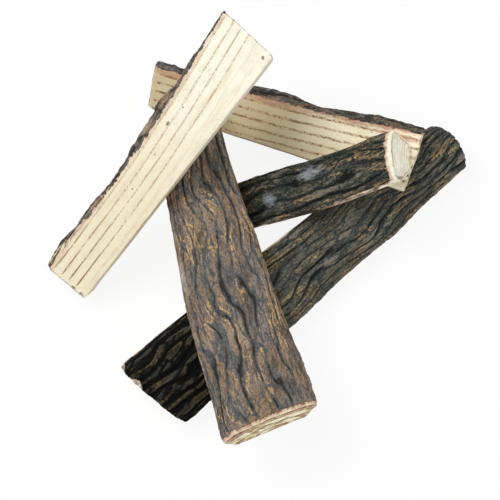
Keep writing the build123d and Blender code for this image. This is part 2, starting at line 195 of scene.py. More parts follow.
class Log:
    """A cast log in its own frame: x runs from heel to head, y to the left, z up from the flat underside.

    A round log has bark from its right arris over the crown to its left arris.
    A split log has a flat split face on top, and bark only down its left side.
    Every random pattern has a seed of its own, counted up from the log's seed.
    Stains, chipped and worn places (the front log's also a painted highlight) and bared places are spots for
    the paint, as spots() says.
    """

    def __init__(self, name, length, widths, heights, right_height, roundness, phase, right_foot_in=0.0,
                 left_height=0.0, left_arris_in=0.0, left_foot_in=0.0, bark=0.0, belly=0.0, bow=0.0,
                 bark_thins_over=0.0, heel_slant=0.0, heel_rake=0.0, head_slant=0.0, head_rake=0.0,
                 ragged=0.0, gaping=0.0, head_round=0.0, bare_head=0.0, end_nicks=1 * MM,
                 ring_pitch=RING_PITCH, ring_spread=1.3, stains=(), chips=(), bared=(), seed=0):
        self.name = name
        self.length = length
        self.widths = widths
        self.heights = heights
        self.right_height = right_height
        self.right_foot_in = right_foot_in
        self.left_height = left_height
        self.left_arris_in = left_arris_in
        self.left_foot_in = left_foot_in
        self.roundness = roundness
        self.phase = phase
        self.bark = bark
        self.belly = belly
        self.bow = bow
        self.bark_thins_over = bark_thins_over
        self.heel_slant = heel_slant
        self.heel_rake = heel_rake
        self.head_slant = head_slant
        self.head_rake = head_rake
        self.ragged = ragged
        self.gaping = gaping
        self.head_round = head_round
        self.bare_head = bare_head
        self.end_nicks = end_nicks
        self.ring_pitch = ring_pitch
        self.ring_spread = ring_spread
        self.spot_lists = (stains, chips, bared)
        self.seed = seed
        self.split = bark > 0

    def middle(self, x):
        return self.bow * np.sin(math.pi * x / self.length)

    def height(self, x):
        heel, head = self.heights
        return heel + (head - heel) * x / self.length

    def corners(self, x):
        """Right foot, right arris, left arris and left foot at x, each as its y and z."""
        heel, head = self.widths
        width = heel + (head - heel) * x / self.length + self.belly * np.sin(math.pi * x / self.length)
        right, left = self.middle(x) - width / 2, self.middle(x) + width / 2
        left_height = self.height(x) if self.split else self.left_height + 0 * x
        return ((right + self.right_foot_in, 0 * x), (right, self.right_height + 0 * x),
                (left - self.left_arris_in, left_height), (left - self.left_foot_in, 0 * x))

    def runs(self, x):
        """The corners that the outline runs through in turn. Its first run is the bark."""
        right_foot, right_arris, left_arris, left_foot = self.corners(x)
        if self.split:
            return [left_arris, left_foot, right_foot, right_arris, left_arris]
        return [right_arris, left_arris, left_foot, right_foot, right_arris]

    def bulge(self, x):
        """How far the bark stands out from the straight line between its two ends."""
        if self.split:
            thin = np.clip((self.length - x) / self.bark_thins_over, 0, 1) if self.bark_thins_over else 1.0
            return self.bark * thin * (1 + self.ragged * noise(x, 0 * x, *RAGGED_PATCH, self.seed + 5, 4))
        return self.height(x) - (self.right_height + self.left_height) / 2

    def columns(self):
        """Every column's run and its share of that run, close together on the bark and at the corners."""
        corners = self.runs(np.array(self.length / 2))
        run, share = [], []
        for number, (start, end) in enumerate(zip(corners, corners[1:])):
            step, size = SIDE_STEP, math.hypot(end[0] - start[0], end[1] - start[1])
            if number == BARK_RUN:
                step, size = ACROSS_STEP, size + BULGE_GIRTH * float(self.bulge(np.array(self.length / 2)))
            if self.split and number == FACE_RUN:
                step = FACE_STEP
            count = max(4, round(size / step))
            even = np.arange(count) / count
            run += [number] * count
            share += list(even if number == BARK_RUN else (even + (1 - np.cos(math.pi * even)) / 2) / 2)
        return np.array(run), np.array(share)

    def outline(self, x, run, share):
        """y and z of the plain outline at x. The bark is a chord bulged by a power of a sine.

        The corners are then rounded by averaging every point with its two neighbours.
        """
        corners = self.runs(x)
        y = sum((run == k) * ((1 - share) * corners[k][0] + share * corners[k + 1][0]) for k in range(4))
        z = sum((run == k) * ((1 - share) * corners[k][1] + share * corners[k + 1][1]) for k in range(4))
        (y0, z0), (y1, z1) = corners[0], corners[1]
        chord = np.hypot(y1 - y0, z1 - z0)
        turned = (1 - np.cos(math.pi * share)) / 2
        lift = self.bulge(x) * np.sin(math.pi * share) ** self.roundness / chord
        y = np.where(run == BARK_RUN, y0 + turned * (y1 - y0) - lift * (z1 - z0), y)
        z = np.where(run == BARK_RUN, z0 + turned * (z1 - z0) + lift * (y1 - y0), z)
        for _ in range(ARRIS_ROUNDS):
            y = (np.roll(y, 1, 1) + 2 * y + np.roll(y, -1, 1)) / 4
            z = (np.roll(z, 1, 1) + 2 * z + np.roll(z, -1, 1)) / 4
        return y, z

    def plain_body(self, run, share):
        """Plain points between the two ends, and the x of the heel and head end on every row.

        The ends are slanted, raked and nicked planes. x is spread evenly between them, and found in
        three passes, because the outline and so the ends change with x.
        """
        rows = round(self.length / ALONG_STEP)
        along = np.linspace(0, 1, rows)[:, None] + 0 * share
        x = along * self.length
        for _ in range(3):
            y, z = self.outline(x, run, share)
            nick = self.end_nicks * np.maximum(0, noise(y, z, *NICK_PATCH, self.seed + 11, 3))
            heel = self.heel_slant * y + self.heel_rake * z + nick
            head = self.length + self.head_slant * y + self.head_rake * z - nick
            x = (1 - along) * heel + along * head
        return x, y, z, heel, head

    def girth(self, x):
        (y0, z0), (y1, z1) = self.runs(x)[:2]
        return np.hypot(y1 - y0, z1 - z0) + BULGE_GIRTH * self.bulge(x)

    def bark_relief(self, x, share):
        """Height of the bark over its plain outline, distance to its plate's edge, and place across the bark.

        The moulded furrows drift and sway along the log. Here they also wander, widen and pinch out,
        and the ridges between them are broken into long plates with torn, fibrous tops.
        The distance is below 0 in a furrow and above 0 on a plate.
        """
        girth = self.girth(x)
        across = share * girth
        count = max(2, round(float(self.girth(np.array(self.length / 2))) / FURROW_PITCH))
        hold = np.sin(math.pi * share)
        drift = FURROW_DRIFT * (x / self.length - 0.5)
        sway = FURROW_SWAY * np.sin(2 * math.pi * x / FURROW_SWAY_WAVE + FURROW_SWAY_LAG * share + self.phase)
        number = (share - (drift + sway) * hold / girth) * count
        number = number + FURROW_WANDER * noise(x, across, *FURROW_WANDER_PATCH, self.seed, 3)
        beside = np.abs(number % 1 - 0.5) * girth / count
        swell = noise(x, across, *FURROW_SWELL_PATCH, self.seed + 1, 3)
        gape = self.gaping * (1 - smooth(x, GAPING_FULL_TO * self.length, GAPING_GONE_AT * self.length))
        furrow_edge = beside - FURROW_HALF_WIDTH * (FURROW_USUAL + FURROW_SWELL * swell + gape)
        warp = PLATE_WARP * noise(x, across, *PLATE_WARP_PATCH, self.seed + 3, 3)
        plates = cracks(x + PLATE_WARP_ALONG * warp, across + warp - drift * hold, PLATE_LENGTH, PLATE_WIDTH,
                        self.seed + 4)
        plate_edge = plates * PLATE_WIDTH - PLATE_GAP
        edge = np.minimum(furrow_edge, plate_edge)
        edge = edge + PLATE_EDGE_ROUGHNESS * noise(x, across, *PLATE_EDGE_PATCH, self.seed + 2, 2)
        depth = FURROW_DEPTH * (1 - smooth(furrow_edge, -FURROW_WALL, FURROW_LIP))
        depth = np.maximum(depth, PLATE_STEP * (1 - smooth(plate_edge, -PLATE_GAP, PLATE_SHOULDER)))
        flakes = FLAKE_HEIGHT * noise(x, across, *FLAKE_PATCH, self.seed + 6, 3)
        fibres = FIBRE_HEIGHT * (0.5 - np.abs(noise(x, across, *FIBRE_PATCH, self.seed + 9, 2)))
        scales = SCALE_HEIGHT * smooth(noise(x, across, *SCALE_PATCH, self.seed + 10, 3), -0.1, 0.15)
        uneven = UNEVEN_HEIGHT * np.sin(2 * math.pi * x / UNEVEN_WAVE + UNEVEN_LAG * share + self.phase)
        height = uneven - depth + flakes + fibres + scales
        fade = np.minimum(1, ARRIS_FADE * hold ** self.roundness)
        return height * fade + 0.5 * (1 - fade) * np.minimum(height, 0), edge, across

    def wear(self, x, z, to_end, to_head, across, barky):
        """How much is worn off near the ends: the sawn edges, and all round a rounded, knobbly head."""
        worn = END_WEAR * (1 - smooth(to_end, 0, END_WEAR_REACH))
        if self.head_round:
            left = np.clip(to_head / self.head_round, 0, 1)
            quarter_circle = 1 - np.sqrt(1 - (1 - left) ** 2)
            worn = worn + ROUNDING_DEPTH * self.head_round * quarter_circle * (z > ROUNDED_ABOVE)
            near = 1 - smooth(to_head, KNOBS_FULL_TO, KNOBS_GONE_AT)
            knobs = noise(x, across, *KNOB_PATCH, self.seed + 12, 2) * near
            worn = worn + KNOB_HEIGHT * (KNOBS_STAND_OUT - knobs) * near * barky
        return worn

    def skin(self):
        """Points of the whole skin and what its paint needs, as arrays of rows by columns.

        A row is one outline, moved outward by the relief, except on the flat underside. The outline
        shrinks to a point at each end, which closes the log.
        After x, y and z come the distance to a plate's edge, how far the point lies inward from the
        bark, 1 on a split face, 1 on a sawn end, and the strength of stains, of chipped places and painted
        highlights, and of bared places.
        """
        run, share = self.columns()
        x, y, z, heel, head = self.plain_body(run, share)
        barky = run == BARK_RUN
        height, edge, across = self.bark_relief(x, share)
        to_end = np.minimum(x - heel, head - x)
        sound = smooth(head - x, 0, TORN_REACH * self.bare_head) if self.bare_head else 1.0
        plain = SIDE_ROUGHNESS * noise(x, y + z, *SIDE_PATCH, self.seed + 7, 3)
        height = np.where(barky, height * (TORN_RELIEF + (1 - TORN_RELIEF) * sound), plain)
        height = height - self.wear(x, z, to_end, head - x, across, barky)
        dy, dz = np.roll(y, -1, 1) - np.roll(y, 1, 1), np.roll(z, -1, 1) - np.roll(z, 1, 1)
        side = np.hypot(dy, dz)
        outward_y, outward_z = -dz / side, dy / side
        height = np.where(outward_z < FACING_DOWN, 0, height)
        y, z = y + height * outward_y, np.maximum(z + height * outward_z, 0)

        corners = self.runs(x)
        from_start = np.hypot(y - corners[0][0], z - corners[0][1])
        from_finish = np.hypot(y - corners[1][0], z - corners[1][1])
        to_bare = x - heel if self.head_round else np.minimum(x - heel, head - x - self.bare_head)
        to_arris = np.minimum(across, self.girth(x) - across)
        inward = np.where(barky, -np.minimum(to_arris, to_bare), np.minimum(from_start, from_finish))
        edge = np.where(barky, edge + TORN_FILLING * (1 - sound), PLATE_WIDTH)
        face = 0 * x
        if self.split:
            face = face + (run == FACE_RUN)
            inward = np.where(run == FACE_RUN, from_start, inward)
            from_right_arris = np.hypot(y - corners[FACE_RUN][0], z - corners[FACE_RUN][1])
            edge = np.where(run == FACE_RUN, to_end, np.where(run == SIDE_RUN, from_right_arris, edge))
        body = [x, y, z, edge, inward, face, 0 * x]

        parts = [self.end(body, 0, self.heel_slant, self.heel_rake, 0.0),
                 body,
                 self.end(body, -1, self.head_slant, self.head_rake, self.length)]
        layers = [np.vstack(rows) for rows in zip(*parts)]
        return layers + [self.spots(layers[0], layers[1], places) for places in self.spot_lists]

    def spots(self, x, y, places):
        """How strongly a point lies in one of the spots: 1 in a spot's middle, fading to 0.

        Each spot has its place along and across the log, its half length and its half width, in mm.
        """
        total = 0 * x
        for place in places:
            along, aside, long, wide = mm(*place)
            total = np.maximum(total, np.exp(-((x - along) / long) ** 2 - ((y - aside) / wide) ** 2))
        return total

    def end(self, body, row, slant, rake, at):
        """Rows of one sawn end, from its middle out or from its rim in: the rim shrinks to the middle.

        Rings run parallel to the bark, and the saw leaves the end a little rough. Both fade at the rim.
        A rounded head is bark all over, so it lies outside the wood.
        """
        rim_y, rim_z = body[1][row], body[2][row]
        middle_y, middle_z = (rim_y.min() + rim_y.max()) / 2, (rim_z.min() + rim_z.max()) / 2
        share = (np.arange(END_ROWS) / END_ROWS)[:, None] ** 0.8
        if row == -1:
            share = share[::-1]
        y = middle_y + share * (rim_y - middle_y)
        z = middle_z + share * (rim_z - middle_z)
        if self.split:
            top = self.runs(np.array(at))[0][0]
            inward = top - y + RING_LEAN * smooth(z, 0, self.height(at))
        elif self.head_round and row == -1:
            inward = ROUNDED_HEAD_OUTSIDE + 0 * y
        else:
            half = self.ring_spread * (rim_y.max() - rim_y.min()) / 2
            reach = np.hypot((y - middle_y) / half, z / rim_z.max())
            inward = np.maximum(OUTERMOST_RING, (1 - reach) * rim_z.max()) * RING_PITCH / self.ring_pitch
        rim = (1 - share) * np.hypot(rim_y - middle_y, rim_z - middle_z)
        fade = 1 - share ** 6
        rough = SAW_ROUGHNESS * noise(y, z, *SAW_PATCH, self.seed + 8, 3) * fade
        step = np.sin(2 * math.pi * inward / RING_PITCH) * RING_RELIEF * fade
        inset = (self.end_nicks + rough + step) * (1 - share ** 8)
        x = at + slant * y + rake * z + inset * (1 if row == 0 else -1)
        return [x, y, z, rim, inward, 0 * y, 1 + 0 * y]


def lay(points, heel, heading, lean, lift):
    """Points of a log's own frame in the set's frame: leaned about the heel, turned to the heading, moved."""
    x, y, z = points
    lean, heading = math.radians(lean), math.radians(heading)
    ahead = x * math.cos(lean) - z * math.sin(lean)
    up = x * math.sin(lean) + z * math.cos(lean) + lift
    return np.stack([heel[0] + ahead * math.cos(heading) - y * math.sin(heading),
                     heel[1] + ahead * math.sin(heading) + y * math.cos(heading),
                     np.maximum(up, 0)])


def closed_mesh(name, points, layers):
    """Mesh of a grid whose rows are closed rings, with a point in the middle of each end.

    points is 3 by rows by columns. layers are values of every point, kept as attributes.
    """
    _, rows, columns = points.shape
    flat = points.reshape(3, -1).T
    poles = np.stack([points[:, 0].mean(1), points[:, -1].mean(1)])
    index = np.arange(rows * columns).reshape(rows, columns)
    beside = np.roll(index, -1, 1)
    quads = np.stack([index[:-1], index[1:], beside[1:], beside[:-1]], -1).reshape(-1, 4)
    heel = np.stack([np.full(columns, rows * columns), index[0], beside[0]], -1)
    head = np.stack([np.full(columns, rows * columns + 1), beside[-1], index[-1]], -1)
    mesh = bpy.data.meshes.new(name)
    mesh.from_pydata(np.vstack([flat, poles]).tolist(), [], quads.tolist() + heel.tolist() + head.tolist())
    for key, values in layers.items():
        if values.ndim == 3:
            ends = np.stack([values[:, 0].mean(1), values[:, -1].mean(1)])
            data = np.vstack([values.reshape(3, -1).T, ends])
            mesh.attributes.new(key, "FLOAT_VECTOR", "POINT").data.foreach_set("vector", data.ravel())
        else:
            data = np.append(values.ravel(), [values[0].mean(), values[-1].mean()])
            mesh.attributes.new(key, "FLOAT", "POINT").data.foreach_set("value", data)
    mesh.shade_smooth()
    mesh.set_sharp_from_angle(angle=SHARP_ANGLE)
    piece = bpy.data.objects.new(name, mesh)
    bpy.context.scene.collection.objects.link(piece)
    return piece


def log_piece(log, heel, heading, lean, lift, material):
    """One log's finished skin in its place, riding on its body in place of the plain solid.

    heel is the heel's place on plan, heading and lean are degrees, and lift is the heel's height.
    """
    x, y, z, *values = log.skin()
    layers = dict(zip(("edge", "inward", "face", "end", "stain", "chip", "bare"), values))
    layers["grain"] = np.stack([x, y, z])
    piece = closed_mesh(log.name + "_skin", lay((x, y, z), heel, heading, lean, lift), layers)
    piece.data.materials.append(material)
    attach(piece, log.name.replace("_log", ""))
    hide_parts(log.name)


def tone(red, green, blue):
    """Paint colour, from the usual 0 to 255 values to the light values that shaders use."""
    light = [((v / 255 + 0.055) / 1.055) ** 2.4 if v > 10 else v / 255 / 12.92 for v in (red, green, blue)]
    return light + [1.0]


class Value:
    """A number on its way through a node tree. Arithmetic on it adds Math nodes."""

    def __init__(self, nodes, socket):
        self.nodes = nodes
        self.socket = socket

    def math(self, operation, *values):
        return self.nodes.node("ShaderNodeMath", {"operation": operation}, dict(enumerate(values)))

    def __add__(self, other):
        return self.math("ADD", self, other)

    def __sub__(self, other):
        return self.math("SUBTRACT", self, other)

    def __rsub__(self, other):
        return self.math("SUBTRACT", other, self)

    def __mul__(self, other):
        return self.math("MULTIPLY", self, other)

    def __truediv__(self, other):
        return self.math("DIVIDE", self, other)

    __radd__ = __add__
    __rmul__ = __mul__

    def larger(self, other):
        return self.math("MAXIMUM", self, other)

    def size(self):
        """The number without its sign."""
        return self.math("ABSOLUTE", self)

    def to_nearest_whole(self):
        """Distance to the nearest whole number."""
        return self.math("PINGPONG", self, 0.5)


class Nodes:
    """A node tree that is filled from here."""

    def __init__(self, tree):
        self.tree = tree
        self.tree.nodes.clear()

    def node(self, kind, settings=None, inputs=None, output=0):
        """Adds a node, sets it up, then fills its inputs with values or links, and gives one output."""
        node = self.tree.nodes.new(kind)
        for key, value in (settings or {}).items():
            setattr(node, key, value)
        for key, value in (inputs or {}).items():
            if isinstance(value, Value):
                self.tree.links.new(value.socket, node.inputs[key])
            else:
                node.inputs[key].default_value = value
        return Value(self, node.outputs[output]) if node.outputs else None


class Paint(Nodes):
    """A material and its nodes."""

    def __init__(self, name):
        self.material = bpy.data.materials.new(name)
        self.material.use_nodes = True
        super().__init__(self.material.node_tree)

    def layer(self, name, output="Fac"):
        """A value that the mesh carries at every point."""
        return self.node("ShaderNodeAttribute", {"attribute_name": name}, output=output)

    def noise(self, place, size, detail=3.0, rough=0.5, stretch=(1, 1, 1)):
        """Noise between 0 and 1 whose spots are size metres wide, pulled out along the grain by stretch."""
        scale = [1 / size / s for s in stretch]
        place = self.node("ShaderNodeMapping", {}, {"Vector": place, "Scale": scale})
        return self.node("ShaderNodeTexNoise", {}, {"Vector": place, "Scale": 1.0, "Detail": detail,
                                                    "Roughness": rough})

    def above(self, value, low, high):
        """0 where the value is low, 1 where it is high, and a smooth step between."""
        return self.node("ShaderNodeMapRange", {"interpolation_type": "SMOOTHSTEP"},
                         {"Value": value, "From Min": low, "From Max": high})

    def below(self, value, low, high):
        """1 where the value is low, 0 where it is high, and a smooth step between."""
        return 1 - self.above(value, low, high)

    def mix(self, share, first, second):
        """First colour where share is 0, second where it is 1."""
        return self.node("ShaderNodeMix", {"data_type": "RGBA"}, {0: share, 6: first, 7: second}, output=2)

    def bump(self, height, depth, under=None):
        inputs = {"Height": height, "Distance": depth, "Strength": 1.0}
        if under:
            inputs["Normal"] = under
        return self.node("ShaderNodeBump", {}, inputs)

    def finish(self, color, roughness, normal, metallic=0.0, specular=0.2):
        shader = self.node("ShaderNodeBsdfPrincipled", {}, {
            "Base Color": color, "Roughness": roughness, "Normal": normal, "Metallic": metallic,
            "Specular IOR Level": specular})
        self.node("ShaderNodeOutputMaterial", {}, {"Surface": shader})
        return self.material


CREAM = tone(245, 240, 220)
BARE = tone(196, 160, 134)


class LogPaint(Paint):
    """Paint of a log, in coats. Its patterns follow the log's own frame, which the skin carries as grain."""

    def __init__(self, name):
        super().__init__(name)
        self.grain = self.layer("grain", "Vector")
        self.along = self.node("ShaderNodeSeparateXYZ", {}, {0: self.grain}, output=0)
        self.inward = self.layer("inward")
        self.edge = self.layer("edge")
        self.face = self.layer("face")
        self.end = self.layer("end")
        self.chip = self.layer("chip")
        self.flank = (1 - self.face) * (1 - self.end)
        self.patches = self.noise(self.grain, 24 * MM, 3, 0.55, (2.4, 1, 1))
        self.specks = self.noise(self.grain, 1.7 * MM, 4, 0.7, (1.6, 1, 1))
        self.fibres = self.noise(self.grain, 3.0 * MM, 4, 0.64, (5, 1, 1))
        self.crumbs = self.noise(self.grain, 3.4 * MM, 4, 0.66, (2.0, 1, 1))
        self.dashes = self.noise(self.grain, 1.5 * MM, 4, 0.72, (2.2, 1, 1))
        self.gritty = self.above(self.specks, 0.45, 0.57)

    def bark(self, ridge, mottle, valley, furrow, brush_color, brushed, charred_from=None, charred_to=None,
             worn=BARE):
        """Bark: plates in greys and browns, and dull furrows that are dark at the bottom, from dark paint and
        painted shade.

        A broken line of dry brush runs along the plates' edges. worn is the colour of worn patches and of
        painted highlights along an edge.
        charred_from and charred_to are the places along the log where char begins and is complete.
        """
        specks, fibres, crumbs = self.specks, self.fibres, self.crumbs
        edge = self.edge + (crumbs - 0.5) * 3.0 * MM
        tones = self.noise(self.grain, 17 * MM, 3, 0.6, (3.2, 1, 1))
        plate = self.mix(self.above(self.patches, 0.4, 0.6), ridge, mottle)
        plate = self.mix(self.above(tones, 0.53, 0.63) * 0.6, plate, furrow)
        plate = self.mix(self.below(tones, 0.36, 0.47) * 0.3, plate, tone(172, 162, 150))
        dusty = self.mix(0.5, plate, tone(190, 180, 162))
        plate = self.mix(self.above(crumbs, 0.5, 0.7) * 0.35, plate, dusty)
        plate = self.mix(self.below(fibres, 0.34, 0.48) * 0.55, plate, furrow)
        bark = self.mix(self.above(edge, -0.5 * MM, 0.5 * MM), valley, plate)
        bark = self.mix(self.below(specks, 0.38, 0.5) * 0.5, bark, furrow)
        bark = self.mix(self.above(specks, 0.52, 0.66) * 0.35, bark, self.mix(0.5, bark, tone(205, 192, 170)))
        # Furrow bottoms darken to the furrow colour: dark paint in them, and painted shade in these recesses.
        bark = self.mix(self.below(edge, -2.2 * MM, -0.7 * MM) * 0.9, bark, furrow)

        brush_patch = self.above(self.noise(self.grain, 13 * MM, 3, 0.55, (4, 1, 1)), 0.52, 0.605)
        outline = self.above(edge, -0.5 * MM, 0.2 * MM) * self.below(edge, 0.8 * MM, 1.9 * MM)
        squiggle = self.below((fibres * 0.6 + crumbs * 0.4 - 0.51).size(), 0.004, 0.02)
        brush = outline.larger(squiggle * 0.25) * brush_patch * (0.22 + self.gritty * 0.78) * brushed
        bark = self.mix(brush, bark, brush_color)
        # Pale patches on the spots: worn places, and on the front log a painted highlight along an edge.
        rubbed_and_highlit = self.chip + (crumbs - 0.5) * 1.2 + (fibres - 0.5) * 1.2
        bark = self.mix(self.above(rubbed_and_highlit, 0.3, 0.95) * (0.45 + self.gritty * 0.25), bark, worn)
        if charred_from is not None:
            char = self.above(self.along + (self.patches - 0.5) * 40 * MM, charred_from, charred_to)
            glaze = 0.97 - 0.32 * self.above(edge, 0.3 * MM, 1.6 * MM)
            bark = self.mix(char * glaze, bark, tone(3, 4, 4))
            bark = self.mix(brush * char * 0.17, bark, brush_color)
        return bark

    def wood(self, color=CREAM, shade=CREAM, shaded_from=0.0, shaded_to=0.0):
        """Cream wood with faint ochre bands, clouds and specks.

        It turns from shade, a painted shade, to its own colour between shaded_from and shaded_to along the
        log.
        """
        bands = self.noise(self.grain, 8 * MM, 2, 0.5, (16, 1, 1))
        clouds = self.noise(self.grain, 12 * MM, 4, 0.6, (1.6, 1, 1))
        wood = color
        # Painted shade: the wood is darker, in the colour shade, before shaded_from along the log.
        if shaded_to:
            lit = self.above(self.along + (self.patches - 0.5) * 30 * MM, shaded_from, shaded_to)
            wood = self.mix(lit, shade, color)
        # Painted shade: the sides, off the split face and the sawn ends, are a little darker.
        wood = self.mix(self.flank * 0.2, wood, tone(176, 158, 130))
        wood = self.mix(self.above(bands, 0.45, 0.75) * 0.4, wood, tone(218, 200, 156))
        wood = self.mix(self.above(clouds, 0.46, 0.68) * 0.3, wood, tone(208, 198, 172))
        return self.mix(self.above(self.specks, 0.52, 0.68) * 0.22, wood, tone(196, 182, 150))

    def grain_lines(self, wood, strength=0.8, width=1.0, color=BARE, start=6 * MM, reach=49 * MM,
                    heel_lines=1.0, ring_color=BARE, ring_strength=0.5, patchy_end=0.1):
        """Thin broken brown lines on the split face and rings on the sawn ends, and where the lines lie.

        The lines lie from start to reach beside the bark, and heel_lines is how much darker and longer
        they grow towards the heel. patchy_end is the strength of brown streaks across the sawn ends.
        """
        wander = (self.noise(self.grain, 24 * MM, 3, 0.5, (5, 1, 1)) - 0.5) * 3.4 * MM
        long_dashes = self.noise(self.grain, 6 * MM, 3, 0.6, (4, 0.8, 0.8))
        dots = self.above(self.noise(self.grain, 2.2 * MM, 3, 0.6, (1.3, 1, 1)), 0.5, 0.6)
        heelward = self.below(self.along, 15 * MM, 110 * MM) * heel_lines
        broken = dots.larger(self.above(long_dashes + heelward * 0.16, 0.5, 0.66))
        lined = self.below(self.inward, reach, reach + 4 * MM)
        lined = lined * self.above(self.along, 5 * MM, 9 * MM) * self.face

        beside = ((self.inward + wander - start) / LINE_PITCH).to_nearest_whole() * (LINE_PITCH / MM)
        beside = beside + (self.dashes - 0.5) * 1.5
        stripe = self.below(beside, 0.6, 2.8) * self.above(long_dashes, 0.4, 0.6) * self.face
        trace = self.below(beside / width, 0.2, 1.0) * self.above(long_dashes, 0.3, 0.46) * lined
        line = self.below(beside / width, 0.2, 1.1) * broken * lined
        wood = self.mix(stripe * 0.25, wood, tone(206, 182, 138))
        wood = self.mix(trace * (strength * 0.6), wood, tone(196, 164, 120))
        line_color = self.mix(heelward, color, tone(118, 72, 46))
        wood = self.mix(line * (strength + heelward * 0.4), wood, line_color)

        ring_beside = ((self.inward + wander) / RING_PITCH).to_nearest_whole() * (RING_PITCH / MM)
        ring_beside = ring_beside + (self.dashes - 0.5) * 1.2
        ring = self.below(ring_beside, 0.3, 1.3) * (0.45 + broken * 0.55) * self.end
        streaks = self.above(self.noise(self.grain, 6 * MM, 3, 0.6, (1, 3.4, 1)), 0.5, 0.58)
        wood = self.mix(streaks * self.end * patchy_end, wood, tone(158, 122, 80))
        return self.mix(ring * ring_strength, wood, ring_color), line

    def marks(self, wood, inner_bark):
        """Flecks, chipped places down to the inner bark, stains, and a thin dark lining along the arrises, on
        the sides painted shade.
        """
        flecks = self.above(self.specks * 0.6 + self.patches * 0.4, 0.59, 0.67)
        wood = self.mix(flecks * 0.4, wood, tone(160, 142, 120))
        chip = self.chip + (self.crumbs - 0.5) * 1.2
        wood = self.mix(self.above(chip, 0.35, 0.8) * (0.5 + self.gritty * 0.3), wood, inner_bark)
        stain = self.layer("stain") + (self.crumbs - 0.5) * 1.1 + (self.specks - 0.5) * 0.8
        wood = self.mix(self.above(stain, 0.5, 0.8) * 0.75, wood, tone(92, 68, 50))
        lining = self.below(self.edge + (self.dashes - 0.5) * 2 * MM, 0.3 * MM, 1.7 * MM) * (1 - self.end)
        # On the sides the lining is darker still: painted shade below the arris.
        lining = lining * (self.above(self.crumbs, 0.4, 0.55) * 0.6 + self.flank * 0.3)
        return self.mix(lining, wood, tone(104, 88, 74))

    def broken_rim(self, wood, tear, inner_bark, rim):
        """The ragged rim where the bark has broken away: inner bark, a shadow, and bark on a sawn end's rim.

        tear is how far a point lies inside the bark's torn edge.
        """
        inner = self.below(tear + (self.crumbs - 0.5) * 4 * MM, 1.0 * MM, 6.0 * MM)
        inner = inner * (1 - self.face * self.below(self.patches, 0.36, 0.56))
        wood = self.mix(inner * (0.55 + 0.35 * self.above(self.fibres, 0.38, 0.56)), wood, inner_bark)
        wood = self.mix(self.below(tear, 0.4 * MM, 1.2 * MM) * 0.5, wood, tone(120, 100, 88))
        sawn_rim = self.below(self.edge + (self.crumbs - 0.5) * 4 * MM, 1.2 * MM, 2.8 * MM) * self.end
        return self.mix(sawn_rim * 0.7, wood, rim)


def fired_ceramic(name, bark, wood=None, lines=None, bare_edge=0.0, inner_bark=BARE, rim=BARE):
    """Finished paint of a log, from what its coats of bark, wood and grain lines ask for.

    bare_edge is how far the bark has broken back from its arrises. inner_bark is the colour under it,
    and rim that of the bark's broken edge on a sawn end.
    """
    paint = LogPaint(name)
    barked = paint.bark(**bark)
    wooden, line = paint.grain_lines(paint.wood(**(wood or {})), **(lines or {}))
    wooden = paint.marks(wooden, inner_bark)
    ragged = (paint.noise(paint.grain, 6 * MM, 4, 0.65, (1.6, 1, 1)) - 0.5) * 9 * MM
    tear = paint.inward + ragged + bare_edge + paint.layer("bare") * 12 * MM
    wooden = paint.broken_rim(wooden, tear, inner_bark, rim)
    bare = paint.above(tear, 0.1 * MM, 0.6 * MM)
    barky = 1 - bare
    grit = paint.noise(paint.grain, 0.9 * MM, 5, 0.7, (1.5, 1, 1))
    normal = paint.bump(paint.fibres * barky, 1.4 * MM)
    normal = paint.bump(paint.crumbs * (barky * 0.85 + 0.15), 1.6 * MM, normal)
    normal = paint.bump(paint.specks * (barky * 0.8 + 0.2), 0.5 * MM, normal)
    normal = paint.bump(line * -1.0, 0.4 * MM, normal)
    return paint.finish(paint.mix(bare, barked, wooden), 0.8 + grit * 0.2, normal, specular=0.12)


def rod_steel():
    """Plain drawn steel with fine draw marks and a trace of scale."""
    paint = Paint("rod_steel")
    place = paint.node("ShaderNodeTexCoord", output="Object")
    marks = paint.noise(place, 0.6 * MM, 4, 0.6)
    scale = paint.noise(place, 6 * MM, 3, 0.6)
    color = paint.mix(paint.above(scale, 0.45, 0.7), tone(150, 150, 153), tone(96, 88, 84))
    return paint.finish(color, 0.3 + marks * 0.3, paint.bump(marks, 0.05 * MM), metallic=1.0, specular=0.5)


# The five logs, with the sizes of the solids. Their spots are given in mm.
base_log = Log(
    "base_log", 434.5 * MM, mm(96.5, 65.5), mm(62, 47), 7 * MM, 0.85, 0.4,
    left_height=34 * MM, left_arris_in=7 * MM, left_foot_in=2 * MM, belly=3 * MM, bow=2 * MM,
    heel_slant=-0.13, heel_rake=-0.20, head_slant=-0.04, head_rake=0.17,
    gaping=0.65, head_round=10 * MM, end_nicks=2 * MM, seed=10,
    bared=((-14, 42, 10, 9), (15, 46, 9, 6), (-15, 9, 8, 6), (222, 38, 24, 4)))
back_log = Log(
    "back_log", 318 * MM, mm(40.5, 57.5), mm(40, 45), 16 * MM, 0.5, 1.1,
    right_foot_in=4 * MM, left_foot_in=-4 * MM, bark=13 * MM, belly=-4 * MM, bow=-2 * MM,
    heel_slant=-0.04, head_rake=0.15, ragged=0.22, seed=20,
    stains=((202, -33, 8, 3), (313, 10, 5, 2), (318, -9, 4, 1.5), (317, -20, 4, 2)),
    chips=((305, 21, 24, 4), (240, 22, 34, 2.5), (150, 19, 45, 5), (20, 17, 24, 4)))
short_log = Log(
    "short_log", 219 * MM, mm(53, 54.5), mm(36, 43), 26 * MM, 0.8, 2.3,
    right_foot_in=14 * MM, left_height=30 * MM, left_foot_in=9 * MM, belly=4 * MM, bow=-3 * MM,
    heel_slant=-0.235, head_slant=0.17, head_rake=-0.16, bare_head=8 * MM, ring_spread=3.5, seed=30,
    stains=((213, -24, 6, 4),),
    chips=((115, 9, 17, 9), (61, -6, 10, 9)),
    bared=((170, -29, 48, 3),))
